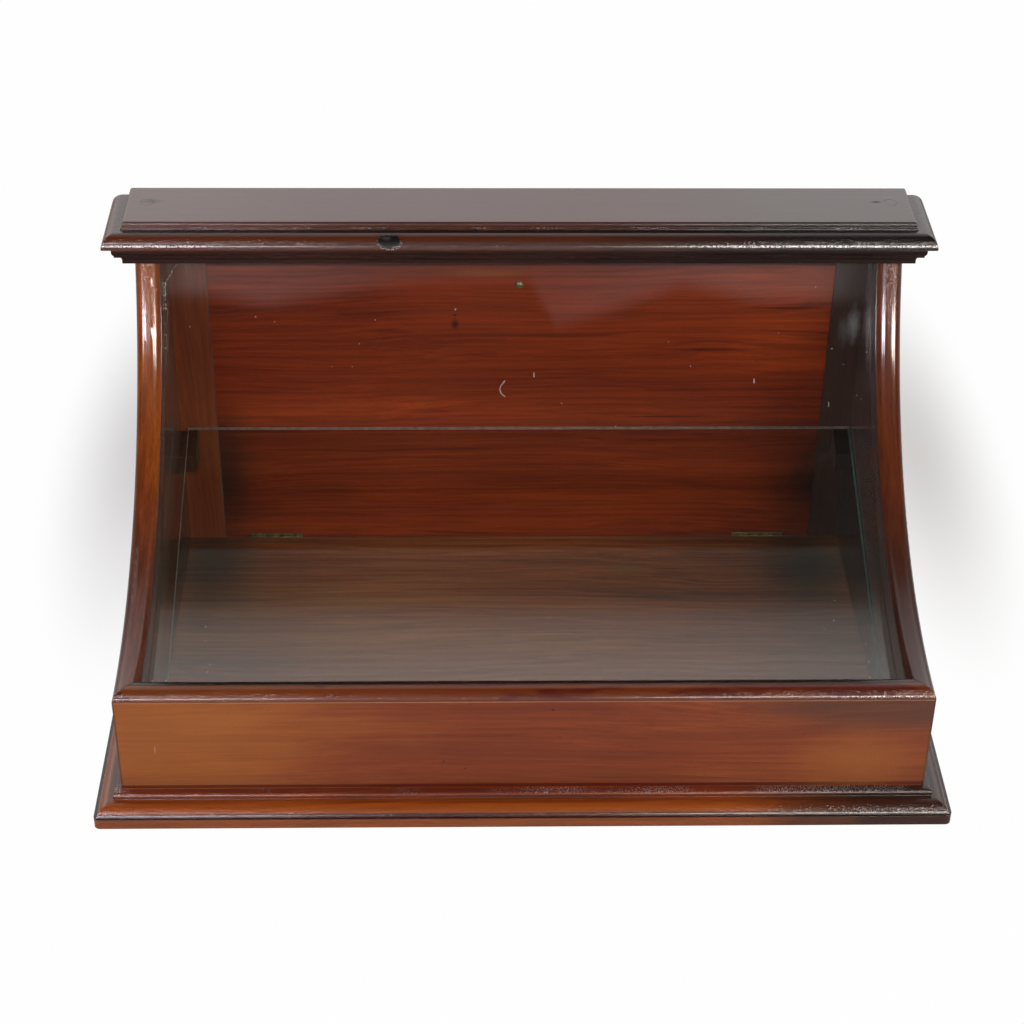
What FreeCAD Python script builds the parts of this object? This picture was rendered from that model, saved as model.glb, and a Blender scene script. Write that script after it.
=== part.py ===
import FreeCAD, Part
import math
import os
import re
from collections import namedtuple

import Sketcher
from FreeCAD import Placement, Rotation, Vector

# A countertop display case: two side boards with a swept front edge, a bent glass front,
# a low front board, mouldings at foot and cap, an inclined glass shelf and a drop-down back door.
# X runs to the right, Y from front to back and Z up. The origin is on the counter, in the middle
# of the carcass. Inside each carcass piece Y counts from the front board's outer face.

SIZES = {
    # Carcass boards
    "case_width": 520,
    "case_depth": 297,
    "case_height": 283.4,
    "board": 17,
    "nosing_radius": 7,
    "front_height": 97.7,
    "sweep_start": 5,
    "floor_thickness": 10,
    # Back frame and the opening for the door
    "frame_thickness": 12,
    "left_stile_width": 26,
    "right_stile_width": 22,
    "top_rail_width": 37.4,
    # Bent glass and its groove
    "glass_thickness": 3,
    "glass_setback": 23,
    "glass_back_gap": 3.05,
    "groove_depth": 5,
    "glass_clearance": 0.25,
    # Shelf
    "shelf_angle": 20.2,
    "shelf_play": 5,
    "shelf_clearance": 0.3,
    "shelf_back_gap": 1,
    "cleat_width": 12,
    "cleat_length": 22,
    "cleat_depth": 14,
    # Moulding under the cap
    "mould_height": 15.4,
    "mould_seat": 2.8,
    "mould_foot": 7,
    "mould_foot_height": 2.3,
    "mould_cove": 4.6,
    "mould_step": 1.2,
    "mould_bulge": 1.4,
    # Cap board
    "cap_overhang": 18.6,
    "nose_height": 9.6,
    "nose_top_radius": 8,
    "nose_foot_radius": 1.5,
    "field_inset": 12.3,
    "field_height": 1.4,
    "field_edge_radius": 0.8,
    "crown_inset": 0.9,
    "crown_height": 3.6,
    "crown_edge_radius": 1.8,
    # Base moulding
    "plinth_reach": 17.5,
    "plinth_foot_height": 7.5,
    "plinth_quirk": 0.4,
    "ovolo_foot": 15.8,
    "ovolo_top": 6.5,
    "ovolo_height": 5.7,
    "ovolo_radius": 8.5,
    "plinth_neck": 4.6,
    "plinth_bead": 5.5,
    "plinth_bead_radius": 2.4,
    "plinth_height": 18.6,
    "plinth_corner_radius": 4,
    # Door and its play in the opening
    "door_side_gap": 0.5,
    "door_foot_gap": 1.2,
    "door_top_gap": 1.5,
    # Butt hinges
    "hinge_length": 38.1,
    "hinge_inset": 38.5,
    "leaf_thickness": 1.1,
    "leaf_gap": 1.1,
    "knuckle_radius": 2.4,
    "knuckle_gap": 0.15,
    "pin_radius": 1.1,
    "pin_clearance": 0.05,
    "hinge_play": 0.3,
    "recess_play": 0.2,
    # Hinge screws
    "hinge_screw_radius": 1.1,
    "hinge_screw_head": 2,
    "hinge_screw_length": 8,
    "hinge_screw_spacing": 20,
    "screw_slot": 0.6,
    "slot_share": 0.6,
    "bore_clearance": 0.1,
    # Knob and the screw that holds it
    "knob_shift": 1.4,
    "knob_drop": 15.2,
    "knob_radius": 8,
    "knob_foot_radius": 6,
    "knob_foot_height": 1.5,
    "knob_neck_radius": 4,
    "knob_neck_height": 4.5,
    "knob_belly_height": 8.5,
    "knob_height": 13,
    "knob_bore_depth": 9,
    "knob_screw_radius": 1.6,
    "knob_screw_head": 2.8,
    "knob_screw_head_height": 1.5,
    "knob_screw_grip": 8,
    # Turn button over the door
    "button_length": 34,
    "button_width": 11,
    "button_thickness": 6,
    "button_edge_radius": 1.2,
    "button_gap": 0.3,
    "button_lift": 4.5,
    "button_screw_radius": 1.75,
    "button_screw_head": 3.5,
    "button_screw_head_height": 2,
    "button_screw_grip": 10,
    # Screws through the cap, each under a plug
    "cap_screw_inset": 21,
    "cap_screw_radius": 2,
    "cap_screw_head": 3.8,
    "cap_screw_head_height": 2,
    "cap_screw_grip": 26,
    "plug_radius": 4.4,
    "plug_depth": 5,
    "plug_clearance": 0.05,
    # How far every cut runs past what it cuts
    "overrun": 2,
}

# Places that follow from the sizes. The sweep is one circle: it starts level at the front
# board's top, and its radius is the one that brings the glass up just in front of the back frame.
INNER = "(case_width / 2 - board)"
OUTER = "(case_width / 2)"
FRONT = "(-case_depth / 2)"
MOULD_FOOT = "(case_height - mould_height)"
FRAME_FRONT = "(case_depth - frame_thickness)"
GLASS_BACK = "(glass_setback + glass_thickness)"
SWEEP_RUN = f"({FRAME_FRONT} - glass_back_gap - sweep_start)"
SWEEP_RISE = "(case_height - front_height)"
SWEEP_RADIUS = f"(({SWEEP_RUN}^2 + {SWEEP_RISE}^2 - {GLASS_BACK}^2) / (2 * ({SWEEP_RISE} + {GLASS_BACK})))"
SWEEP_HEIGHT = f"(front_height + {SWEEP_RADIUS})"
OPENING_LEFT = f"(left_stile_width - {INNER})"
OPENING_RIGHT = f"({INNER} - right_stile_width)"
OPENING_TOP = "(case_height - top_rail_width)"
DOOR_FOOT = "(floor_thickness + door_foot_gap)"
DOOR_TOP = f"({OPENING_TOP} - door_top_gap)"
HINGE_PLACES = {"left": f"({OPENING_LEFT} + hinge_inset)", "right": f"({OPENING_RIGHT} - hinge_inset)"}
HINGE_BACK = "(case_depth + knuckle_radius + hinge_play)"
HINGE_HEIGHT = "(floor_thickness + leaf_thickness + leaf_gap / 2)"
LEAF_REACH = "(frame_thickness + knuckle_radius + hinge_play)"
BARREL_SIDE = "(knuckle_radius + hinge_play)"
SCREW_BACK = "(case_depth - frame_thickness / 2)"
HINGE_BORE = "(hinge_screw_radius + bore_clearance)"
HINGE_PILOT = "(hinge_screw_length - leaf_thickness + bore_clearance)"
BUTTON_HEIGHT = f"({OPENING_TOP} + button_lift + button_width / 2)"
KNOB_HEIGHT = f"({DOOR_TOP} - knob_drop)"
KNOB_SIDE = f"(({OPENING_LEFT} + {OPENING_RIGHT}) / 2 - knob_shift)"
CAP_HEIGHT = "(nose_height + field_height + crown_height)"
CAP_SCREW_SIDE = f"({OUTER} - board / 2)"
CAP_SCREW_BACK = "(case_depth - cap_screw_inset)"
PLUG_FLOOR = f"(case_height + {CAP_HEIGHT} - plug_depth)"
KNUCKLES = 5
NEARLY = 1e-6

Corner = namedtuple("Corner", "x y radius side", defaults=(None, None))

doc = FreeCAD.newDocument("DisplayCase")
sheet = doc.addObject("Spreadsheet::Sheet", "Sizes")
for row, (name, number) in enumerate(SIZES.items(), start=1):
    sheet.set(f"A{row}", name)
    sheet.set(f"B{row}", str(number))
    sheet.setAlias(f"B{row}", name)
doc.recompute()

WORD = re.compile(r"\b[a-z_]+\b(?!\()")
parts = []


def formula(text):
    """A formula of size names, written the way the document's expressions need it."""
    return WORD.sub(r"Sizes.\g<0>", text)


def value(text):
    """What a formula comes to with the sizes of now."""
    return float(sheet.evalExpression(formula(text)))


def bind(thing, path, text):
    """Tie a property or a sketch constraint to the sheet."""
    thing.setExpression(path, formula(text))


def new_body(label, x="0", y=FRONT, z="0", rotation=None, is_node=True):
    """A body with its place tied to the sheet; it is a node of its own unless a group takes it."""
    body = doc.addObject("PartDesign::Body", label)
    body.Label = label
    if rotation:
        body.Placement = Placement(Vector(), rotation)
    for axis, text in zip("xyz", (x, y, z)):
        bind(body, f"Placement.Base.{axis}", text)
    if is_node:
        parts.append(body)
    return body


def new_group(label, members):
    """Separate solids that share one node."""
    group = doc.addObject("Part::Compound", label)
    group.Label = label
    group.Links = members
    parts.append(group)


def new_sketch(body, name, plane, offset="0"):
    """A sketch on one of the body's own origin planes, moved along the plane's normal."""
    sketch = body.newObject("Sketcher::SketchObject", f"{body.Label}_{name}")
    support = [face for face in body.Origin.OriginFeatures if face.Role == f"{plane}_Plane"]
    sketch.AttachmentSupport = [(support[0], "")]
    sketch.MapMode = "FlatFace"
    bind(sketch, "AttachmentOffset.Base.z", offset)
    return sketch


def fix_point(sketch, curve, end, x, y):
    """Hold one end of a curve at two formulas."""
    for kind, text in (("DistanceX", x), ("DistanceY", y)):
        index = sketch.addConstraint(Sketcher.Constraint(kind, -1, 1, curve, end, value(text)))
        bind(sketch, f"Constraints[{index}]", text)


def arc_centre(start, stop, radius, side):
    """Centre of the shorter arc between two points, to the left or the right of the way."""
    chord = stop - start
    height = math.sqrt(radius ** 2 - (chord.Length / 2) ** 2)
    normal = Vector(-chord.y, chord.x).normalize()
    if side == "right":
        normal = -normal
    return (start + stop) / 2 + normal * height


def draw_outline(sketch, corners):
    """A closed outline; a corner with a radius starts an arc that bends to the named side."""
    points = [Vector(value(corner.x), value(corner.y)) for corner in corners]
    ends = []
    for index, corner in enumerate(corners):
        start = points[index]
        stop = points[(index + 1) % len(points)]
        if corner.radius is None:
            curve = sketch.addGeometry(Part.LineSegment(start, stop))
            ends.append((curve, 1, 2))
            continue
        radius = value(corner.radius)
        centre = arc_centre(start, stop, radius, corner.side)
        first, last = (start, stop) if corner.side == "left" else (stop, start)
        angles = [math.atan2(point.y - centre.y, point.x - centre.x) for point in (first, last)]
        circle = Part.Circle(centre, Vector(0, 0, 1), radius)
        curve = sketch.addGeometry(Part.ArcOfCircle(circle, *angles))
        ends.append((curve, 1, 2) if corner.side == "left" else (curve, 2, 1))
    for index, corner in enumerate(corners):
        curve, begin, _ = ends[index]
        previous, _, finish = ends[index - 1]
        sketch.addConstraint(Sketcher.Constraint("Coincident", previous, finish, curve, begin))
        fix_point(sketch, curve, begin, corner.x, corner.y)
    for index, corner in enumerate(corners):
        if corner.radius is not None:
            curve = ends[index][0]
            number = sketch.addConstraint(Sketcher.Constraint("Radius", curve, value(corner.radius)))
            bind(sketch, f"Constraints[{number}]", corner.radius)


def draw_rectangle(sketch, left, right, bottom, top):
    corners = ((left, bottom), (right, bottom), (right, top), (left, top))
    draw_outline(sketch, [Corner(*corner) for corner in corners])


def draw_circle(sketch, x, y, radius):
    circle = Part.Circle(Vector(value(x), value(y)), Vector(0, 0, 1), value(radius))
    curve = sketch.addGeometry(circle)
    fix_point(sketch, curve, 3, x, y)
    index = sketch.addConstraint(Sketcher.Constraint("Radius", curve, value(radius)))
    bind(sketch, f"Constraints[{index}]", radius)


def feature(kind, sketch, length, side):
    """A pad or a pocket of a sketch: along its normal, against it or both ways."""
    body = sketch.getParentGeoFeatureGroup()
    made = body.newObject(f"PartDesign::{kind}", f"{sketch.Label}_{kind}")
    made.Profile = sketch
    made.SideType = "Symmetric" if side == "both" else "One side"
    made.Reversed = side == ("against" if kind == "Pad" else "along")
    bind(made, "Length", length)
    sketch.Visibility = False
    doc.recompute()
    return made


def pad(sketch, length, side="along"):
    return feature("Pad", sketch, length, side)


def pocket(sketch, length, side="along"):
    """Cut a sketch out of the body, and make sure that it took something away."""
    body = sketch.getParentGeoFeatureGroup()
    before = body.Shape.Volume
    made = feature("Pocket", sketch, length, side)
    if not made.Shape.Volume < before:
        raise RuntimeError(f"{made.Label} cuts nothing")
    return made


def drill(body, name, plane, offset, places, radius, depth, side):
    """Round holes of one size from a plane, at several places."""
    sketch = new_sketch(body, name, plane, offset)
    for x, y in places:
        draw_circle(sketch, x, y, radius)
    return pocket(sketch, depth, side)


def dress(kind, base, size, wanted):
    """Fillet or chamfer the edges of a feature that the test picks."""
    body = base.getParentGeoFeatureGroup()
    names = [f"Edge{n}" for n, edge in enumerate(base.Shape.Edges, start=1) if wanted(edge)]
    if not names:
        raise RuntimeError(f"{body.Label}: no edge for the {kind}")
    made = body.newObject(f"PartDesign::{kind}", f"{base.Label}_{kind}")
    made.Base = (base, names)
    bind(made, "Radius" if kind == "Fillet" else "Size", size)
    doc.recompute()
    return made


def same(first, second):
    return abs(first - second) < NEARLY


def middle(edge):
    return edge.valueAt((edge.FirstParameter + edge.LastParameter) / 2)


def along(edge, axis):
    """Whether an edge is straight and runs along x, y or z."""
    ends = edge.Vertexes
    if len(ends) < 2 or edge.Curve.TypeId != "Part::GeomLine":
        return False
    step = ends[1].Point - ends[0].Point
    return same(abs(getattr(step, axis)), step.Length)


def sweep_depth(radius, height):
    """How far back a circle about the sweep's centre lies at a height above the counter."""
    return f"(sweep_start + sqrt(({radius})^2 - ({SWEEP_HEIGHT} - ({height}))^2))"


def sweep_level(radius, depth):
    """The height of a circle about the sweep's centre at a depth behind the front."""
    return f"({SWEEP_HEIGHT} - sqrt(({radius})^2 - (({depth}) - sweep_start)^2))"


def draw_glass_band(sketch, clearance, foot, top):
    """The bent sheet's section, or with a clearance its groove, from foot to top."""
    near = f"({SWEEP_RADIUS} + glass_setback - {clearance})"
    far = f"({SWEEP_RADIUS} + {GLASS_BACK} + {clearance})"
    draw_outline(sketch, [
        Corner(foot, sweep_level(far, foot), far, "left"),
        Corner(sweep_depth(far, top), top),
        Corner(sweep_depth(near, top), top, near, "right"),
        Corner(foot, sweep_level(near, foot)),
    ])


def draw_groove(sketch):
    draw_glass_band(sketch, "glass_clearance", "(board - groove_depth)", "(case_height + overrun)")


# Where the moulding under the cap is planted, a little behind the side boards' swept edge
MOULD_LINE = f"({sweep_depth(SWEEP_RADIUS, MOULD_FOOT)} + mould_seat)"
RAIL_BACK = f"({sweep_depth(f'({SWEEP_RADIUS} + glass_setback)', MOULD_FOOT)} - glass_clearance)"


# Side boards: the front edge sweeps up in one arc to a shallow notch behind the cap's moulding


def make_side(label, sign):
    outward = "along" if sign > 0 else "against"
    body = new_body(label, x=f"{sign} * {INNER}")
    outline = new_sketch(body, "outline", "YZ")
    draw_outline(outline, [
        Corner("0", "0"),
        Corner("case_depth", "0"),
        Corner("case_depth", "case_height"),
        Corner(sweep_depth(SWEEP_RADIUS, "case_height"), "case_height", SWEEP_RADIUS, "right"),
        Corner("sweep_start", "front_height"),
        Corner("0", "front_height"),
    ])
    blank = pad(outline, "board", outward)

    def on_sweep(edge):
        point = middle(edge)
        if edge.Curve.TypeId == "Part::GeomCircle":
            return True
        return along(edge, "y") and same(point.z, value("front_height"))

    dress("Fillet", blank, "nosing_radius", on_sweep)
    notch = new_sketch(body, "notch", "YZ", f"{sign} * -overrun")
    draw_rectangle(notch, "0", MOULD_LINE, MOULD_FOOT, "case_height + overrun")
    pocket(notch, "board + 2 * overrun", outward)
    groove = new_sketch(body, "groove", "YZ")
    draw_groove(groove)
    pocket(groove, "groove_depth", outward)
    corner = new_sketch(body, "mitre", "XY", "-overrun")
    draw_outline(corner, [
        Corner(f"{sign} * -overrun", "board + overrun"),
        Corner(f"{sign} * -overrun", "-overrun"),
        Corner(f"{sign} * (board + overrun)", "-overrun"),
    ])
    pocket(corner, "case_height + 2 * overrun", "along")
    drill(body, "screw_pilot", "XY", "case_height", [(f"{sign} * board / 2", CAP_SCREW_BACK)],
          "cap_screw_radius + bore_clearance", "cap_screw_grip + bore_clearance", "against")


make_side("left_side", -1)
make_side("right_side", 1)


# Front board, mitred into the side boards, with the glass standing in its groove


def make_front_board():
    body = new_body("front_board")
    outline = new_sketch(body, "outline", "YZ")
    draw_rectangle(outline, "0", "board", "0", "front_height")
    blank = pad(outline, "case_width", "both")
    dress("Fillet", blank, "nosing_radius",
          lambda edge: along(edge, "x") and same(middle(edge).z, value("front_height")))
    groove = new_sketch(body, "groove", "YZ")
    draw_groove(groove)
    pocket(groove, "case_width + 2 * overrun", "both")
    for name, sign in (("left", -1), ("right", 1)):
        corner = new_sketch(body, f"mitre_{name}", "XY", "-overrun")
        draw_outline(corner, [
            Corner(f"{sign} * ({OUTER} + overrun)", "-overrun"),
            Corner(f"{sign} * ({OUTER} + overrun)", "board + overrun"),
            Corner(f"{sign} * ({INNER} - overrun)", "board + overrun"),
        ])
        pocket(corner, "front_height + 2 * overrun", "along")


make_front_board()


# Floor board, back frame and the rail under the cap


def make_board(label, left, right, front, back, bottom, top):
    """A plain rectangular board between two places on each axis."""
    body = new_body(label)
    outline = new_sketch(body, "outline", "XY", bottom)
    draw_rectangle(outline, left, right, front, back)
    pad(outline, f"({top}) - ({bottom})")
    return body


def hinge_screw_places():
    """X of every hinge screw: two in each leaf."""
    return [f"({place} + {sign} * hinge_screw_spacing / 2)"
            for place in HINGE_PLACES.values() for sign in (-1, 1)]


make_board("floor_board", f"-{INNER}", INNER, "board", FRAME_FRONT, "0", "floor_thickness")
make_board("back_stile_left", f"-{INNER}", OPENING_LEFT, FRAME_FRONT, "case_depth", "0", "case_height")
make_board("back_stile_right", OPENING_RIGHT, INNER, FRAME_FRONT, "case_depth", "0", "case_height")
top_rail = make_board("back_top_rail", OPENING_LEFT, OPENING_RIGHT, FRAME_FRONT, "case_depth",
                      OPENING_TOP, "case_height")
drill(top_rail, "button_pilot", "XZ", "-case_depth", [(KNOB_SIDE, BUTTON_HEIGHT)],
      "button_screw_radius + pin_clearance", "button_screw_grip + bore_clearance", "along")
bottom_rail = make_board("back_bottom_rail", OPENING_LEFT, OPENING_RIGHT, FRAME_FRONT, "case_depth",
                         "0", "floor_thickness")
drill(bottom_rail, "hinge_pilots", "XY", "floor_thickness",
      [(place, SCREW_BACK) for place in hinge_screw_places()], HINGE_BORE, HINGE_PILOT, "against")
make_board("front_top_rail", f"-{INNER}", INNER, MOULD_LINE, RAIL_BACK, MOULD_FOOT, "case_height")


# Mouldings: the section is drawn with x outwards and z up, and runs along the piece's own y


def draw_mould_section(sketch):
    """Fillet, cove and bead, from the carcass outwards."""
    cove = "(mould_foot + mould_cove)"
    cove_top = "(mould_foot_height + mould_cove)"
    half_bead = f"((mould_height - {cove_top} - mould_step) / 2)"
    bead = f"(({half_bead}^2 + mould_bulge^2) / (2 * mould_bulge))"
    draw_outline(sketch, [
        Corner("0", "0"),
        Corner("mould_foot", "0"),
        Corner("mould_foot", "mould_foot_height", "mould_cove", "right"),
        Corner(cove, cove_top),
        Corner(cove, f"{cove_top} + mould_step", bead, "left"),
        Corner(cove, "mould_height"),
        Corner("0", "mould_height"),
    ])


def draw_plinth_section(sketch):
    """Foot, ovolo and bead, from the carcass outwards."""
    ovolo = "(plinth_foot_height + plinth_quirk)"
    neck = f"({ovolo} + ovolo_height)"
    bead_side = "(plinth_bead - plinth_bead_radius)"
    bead_drop = f"sqrt(plinth_bead_radius^2 - (plinth_neck - {bead_side})^2)"
    bead_foot = f"(plinth_height - plinth_bead_radius - {bead_drop})"
    draw_outline(sketch, [
        Corner("0", "0"),
        Corner("plinth_reach", "0"),
        Corner("plinth_reach", "plinth_foot_height"),
        Corner("ovolo_foot", "plinth_foot_height"),
        Corner("ovolo_foot", ovolo, "ovolo_radius", "left"),
        Corner("ovolo_top", neck),
        Corner("plinth_neck", neck),
        Corner("plinth_neck", bead_foot, "plinth_bead_radius", "left"),
        Corner("plinth_bead", "plinth_height - plinth_bead_radius", "plinth_bead_radius", "left"),
        Corner(bead_side, "plinth_height"),
        Corner("0", "plinth_height"),
    ])


Moulding = namedtuple("Moulding", "name section reach tall foot line rounding")
BED_MOULD = Moulding("bed_mould", draw_mould_section, "(mould_foot + mould_cove + mould_bulge)",
                     "mould_height", MOULD_FOOT, MOULD_LINE, None)
PLINTH = Moulding("plinth", draw_plinth_section, "plinth_reach", "plinth_height", "0", "0",
                  "plinth_corner_radius")


def cut_corner(body, moulding, name, tip, way):
    """Mitre one end of a run at 45 degrees, and round the outer corner if the moulding is rounded."""
    reach = moulding.reach
    through = f"{moulding.tall} + 2 * overrun"
    sketch = new_sketch(body, f"mitre_{name}", "XY", "-overrun")
    far = f"{tip} + {way} * ({reach} + overrun)"
    draw_outline(sketch, [
        Corner("-overrun", f"{tip} - {way} * overrun"),
        Corner(f"{reach} + overrun", far),
        Corner("-overrun", far),
    ])
    pocket(sketch, through, "along")
    if not moulding.rounding:
        return
    sketch = new_sketch(body, f"rounding_{name}", "XY", "-overrun")
    edge = f"{tip} + {way} * {reach}"
    inset = f"{reach} - {moulding.rounding}"
    draw_outline(sketch, [
        Corner(reach, f"{edge} - {way} * {moulding.rounding}"),
        Corner(f"{reach} + overrun", f"{edge} - {way} * {moulding.rounding}"),
        Corner(f"{reach} + overrun", f"{edge} + {way} * overrun"),
        Corner(inset, f"{edge} + {way} * overrun"),
        Corner(inset, edge, moulding.rounding, "left" if way < 0 else "right"),
    ])
    pocket(sketch, through, "along")


def make_run(moulding, side, run, turn, x, y, start_mitred, end_mitred):
    """One straight run of a moulding; it runs on past a mitred end by the moulding's reach."""
    body = new_body(f"{moulding.name}_{side}", x, y, moulding.foot, Rotation(Vector(0, 0, 1), turn))
    before = moulding.reach if start_mitred else "0"
    after = moulding.reach if end_mitred else "0"
    outline = new_sketch(body, "section", "XZ", before)
    moulding.section(outline)
    pad(outline, f"{before} + {run} + {after}", "against")
    if start_mitred:
        cut_corner(body, moulding, "start", "0", -1)
    if end_mitred:
        cut_corner(body, moulding, "end", run, 1)


for kind in (BED_MOULD, PLINTH):
    side_run = f"(case_depth - {kind.line})"
    corner_place = f"({FRONT} + {kind.line})"
    make_run(kind, "front", "case_width", -90, f"-{OUTER}", corner_place, True, True)
    make_run(kind, "left", side_run, 180, f"-{OUTER}", "case_depth / 2", False, True)
    make_run(kind, "right", side_run, 0, OUTER, corner_place, True, False)


# Cap board: a nose, then two raised tiers, all flush at the back


def make_cap():
    body = new_body("cap_board", z="case_height")
    level = "0"
    inset = "0"
    tiers = (("nose", "0", "nose_height", "nose_top_radius"),
             ("field", "field_inset", "field_height", "field_edge_radius"),
             ("crown", "crown_inset", "crown_height", "crown_edge_radius"))
    for name, step, height, radius in tiers:
        inset = f"({inset} + {step})"
        side = f"({OUTER} + cap_overhang - {inset})"
        front = f"({MOULD_LINE} - cap_overhang + {inset})"
        outline = new_sketch(body, name, "XY", level)
        draw_rectangle(outline, f"-{side}", side, front, "case_depth")
        tier = pad(outline, height)
        foot = value(level)
        level = f"({level} + {height})"

        def rim(edge, height_now):
            point = middle(edge)
            on_front = along(edge, "x") and same(point.y, value(front))
            on_side = along(edge, "y") and same(abs(point.x), value(side))
            return same(point.z, height_now) and (on_front or on_side)

        rounded = dress("Fillet", tier, radius, lambda edge: rim(edge, value(level)))
        if name == "nose":
            dress("Fillet", rounded, "nose_foot_radius", lambda edge: rim(edge, foot))
    places = [(f"{sign} * {CAP_SCREW_SIDE}", CAP_SCREW_BACK) for sign in (-1, 1)]
    drill(body, "plug_holes", "XY", CAP_HEIGHT, places, "plug_radius + plug_clearance", "plug_depth",
          "against")
    drill(body, "screw_holes", "XY", "-overrun", places, "cap_screw_radius + bore_clearance",
          f"{CAP_HEIGHT} + overrun", "along")


make_cap()


# Bent glass, flat shelf and the shelf's cleats


def make_glass():
    body = new_body("curved_glass")
    outline = new_sketch(body, "section", "YZ")
    draw_glass_band(outline, "0", "(board - groove_depth + glass_clearance)",
                    "(case_height - glass_clearance)")
    pad(outline, f"2 * ({INNER} + groove_depth - glass_clearance)", "both")


make_glass()

# The shelf stands on the floor at the foot of the front board and rises to the back
SHELF_FOOT = "(board + shelf_clearance + glass_thickness * sin(shelf_angle))"
SHELF_LENGTH = f"(({FRAME_FRONT} - shelf_back_gap - {SHELF_FOOT}) / cos(shelf_angle))"
SHELF_LEFT = f"(shelf_play - {INNER})"
SHELF_RIGHT = f"({INNER} - shelf_clearance)"


def shelf_underside(depth):
    """Height of the shelf's lower face at a depth behind the front."""
    return f"(floor_thickness + ({depth} - {SHELF_FOOT}) * tan(shelf_angle))"


def make_shelf():
    body = new_body("glass_shelf", x=SHELF_LEFT, y=f"{FRONT} + {SHELF_FOOT}", z="floor_thickness",
                    rotation=Rotation(Vector(1, 0, 0), value("shelf_angle")))
    bind(body, "Placement.Rotation.Angle", "shelf_angle")
    outline = new_sketch(body, "outline", "XY")
    draw_rectangle(outline, "0", f"{SHELF_RIGHT} - {SHELF_LEFT}", "0", SHELF_LENGTH)
    pad(outline, "glass_thickness")


def make_cleat(label, sign):
    """A block on a side board with its top cut to the shelf's slope."""
    body = new_body(label, x=f"{sign} * {INNER}")
    back = f"({FRAME_FRONT} - shelf_back_gap)"
    front = f"({back} - cleat_length)"
    foot = f"({shelf_underside(front)} - cleat_depth)"
    outline = new_sketch(body, "outline", "YZ")
    draw_outline(outline, [
        Corner(front, foot),
        Corner(back, foot),
        Corner(back, shelf_underside(back)),
        Corner(front, shelf_underside(front)),
    ])
    pad(outline, "cleat_width", "against" if sign > 0 else "along")


make_shelf()
make_cleat("shelf_cleat_left", -1)
make_cleat("shelf_cleat_right", 1)


# Back door with its hinges


def make_door():
    body = make_board("rear_door", f"{OPENING_LEFT} + door_side_gap",
                      f"{OPENING_RIGHT} - door_side_gap", FRAME_FRONT, "case_depth", DOOR_FOOT, DOOR_TOP)
    roof = "(floor_thickness + 2 * leaf_thickness + leaf_gap)"
    for name, place in HINGE_PLACES.items():
        recess = new_sketch(body, f"recess_{name}", "XY", f"{DOOR_FOOT} - overrun")
        half = "(hinge_length / 2 + recess_play)"
        draw_rectangle(recess, f"{place} - {half}", f"{place} + {half}",
                       f"{FRAME_FRONT} - overrun", "case_depth + overrun")
        pocket(recess, f"{roof} - {DOOR_FOOT} + overrun", "along")
    drill(body, "hinge_pilots", "XY", roof, [(place, SCREW_BACK) for place in hinge_screw_places()],
          HINGE_BORE, HINGE_PILOT, "along")
    drill(body, "knob_hole", "XZ", f"-({FRAME_FRONT} - overrun)", [(KNOB_SIDE, KNOB_HEIGHT)],
          "knob_screw_radius + bore_clearance", "frame_thickness + 2 * overrun", "against")


make_door()

PITCH = f"(hinge_length / {KNUCKLES})"


def make_leaf(label, place, sign, knuckles):
    """One leaf of a butt hinge about its own pin: sign is -1 for the lower leaf, 1 for the upper."""
    body = new_body(label, x=place, y=f"{FRONT} + {HINGE_BACK}", z=HINGE_HEIGHT)
    near = f"{sign} * leaf_gap / 2"
    far = f"{sign} * (leaf_gap / 2 + leaf_thickness)"
    plate = new_sketch(body, "plate", "YZ", "-hinge_length / 2")
    draw_rectangle(plate, f"-{LEAF_REACH}", f"-{BARREL_SIDE}", near, far)
    pad(plate, "hinge_length")
    for index in knuckles:
        start = f"({index} * {PITCH} + knuckle_gap / 2 - hinge_length / 2)"
        neck = new_sketch(body, f"neck_{index}", "YZ", start)
        draw_rectangle(neck, f"-{LEAF_REACH}", "0", near, far)
        pad(neck, f"{PITCH} - knuckle_gap")
        barrel = new_sketch(body, f"barrel_{index}", "YZ", start)
        draw_circle(barrel, "0", "0", "knuckle_radius")
        pad(barrel, f"{PITCH} - knuckle_gap")
    bore = new_sketch(body, "bore", "YZ")
    draw_circle(bore, "0", "0", "pin_radius + pin_clearance")
    pocket(bore, "hinge_length + 2 * overrun", "both")
    middle_back = f"({SCREW_BACK} - {HINGE_BACK})"
    places = [(f"{side} * hinge_screw_spacing / 2", middle_back) for side in (-1, 1)]
    half_pack = "(leaf_gap / 2 + leaf_thickness + overrun)"
    holes = drill(body, "screw_holes", "XY", f"-{half_pack}", places, HINGE_BORE, f"2 * {half_pack}",
                  "along")
    radius = value(HINGE_BORE)

    def mouth(edge):
        is_circle = edge.Curve.TypeId == "Part::GeomCircle"
        return is_circle and same(edge.Curve.Radius, radius) and same(middle(edge).z, value(near))

    dress("Chamfer", holes, "hinge_screw_head - hinge_screw_radius", mouth)


def make_pin(label, place):
    body = new_body(label, x=place, y=f"{FRONT} + {HINGE_BACK}", z=HINGE_HEIGHT)
    section = new_sketch(body, "section", "YZ")
    draw_circle(section, "0", "0", "pin_radius")
    pad(section, "hinge_length", "both")


for side_name, hinge_place in HINGE_PLACES.items():
    make_leaf(f"hinge_frame_leaf_{side_name}", hinge_place, -1, range(0, KNUCKLES, 2))
    make_leaf(f"hinge_door_leaf_{side_name}", hinge_place, 1, range(1, KNUCKLES, 2))
    make_pin(f"hinge_pin_{side_name}", hinge_place)


# Screws: turned about their own axis, with the head's top at their own zero


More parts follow.
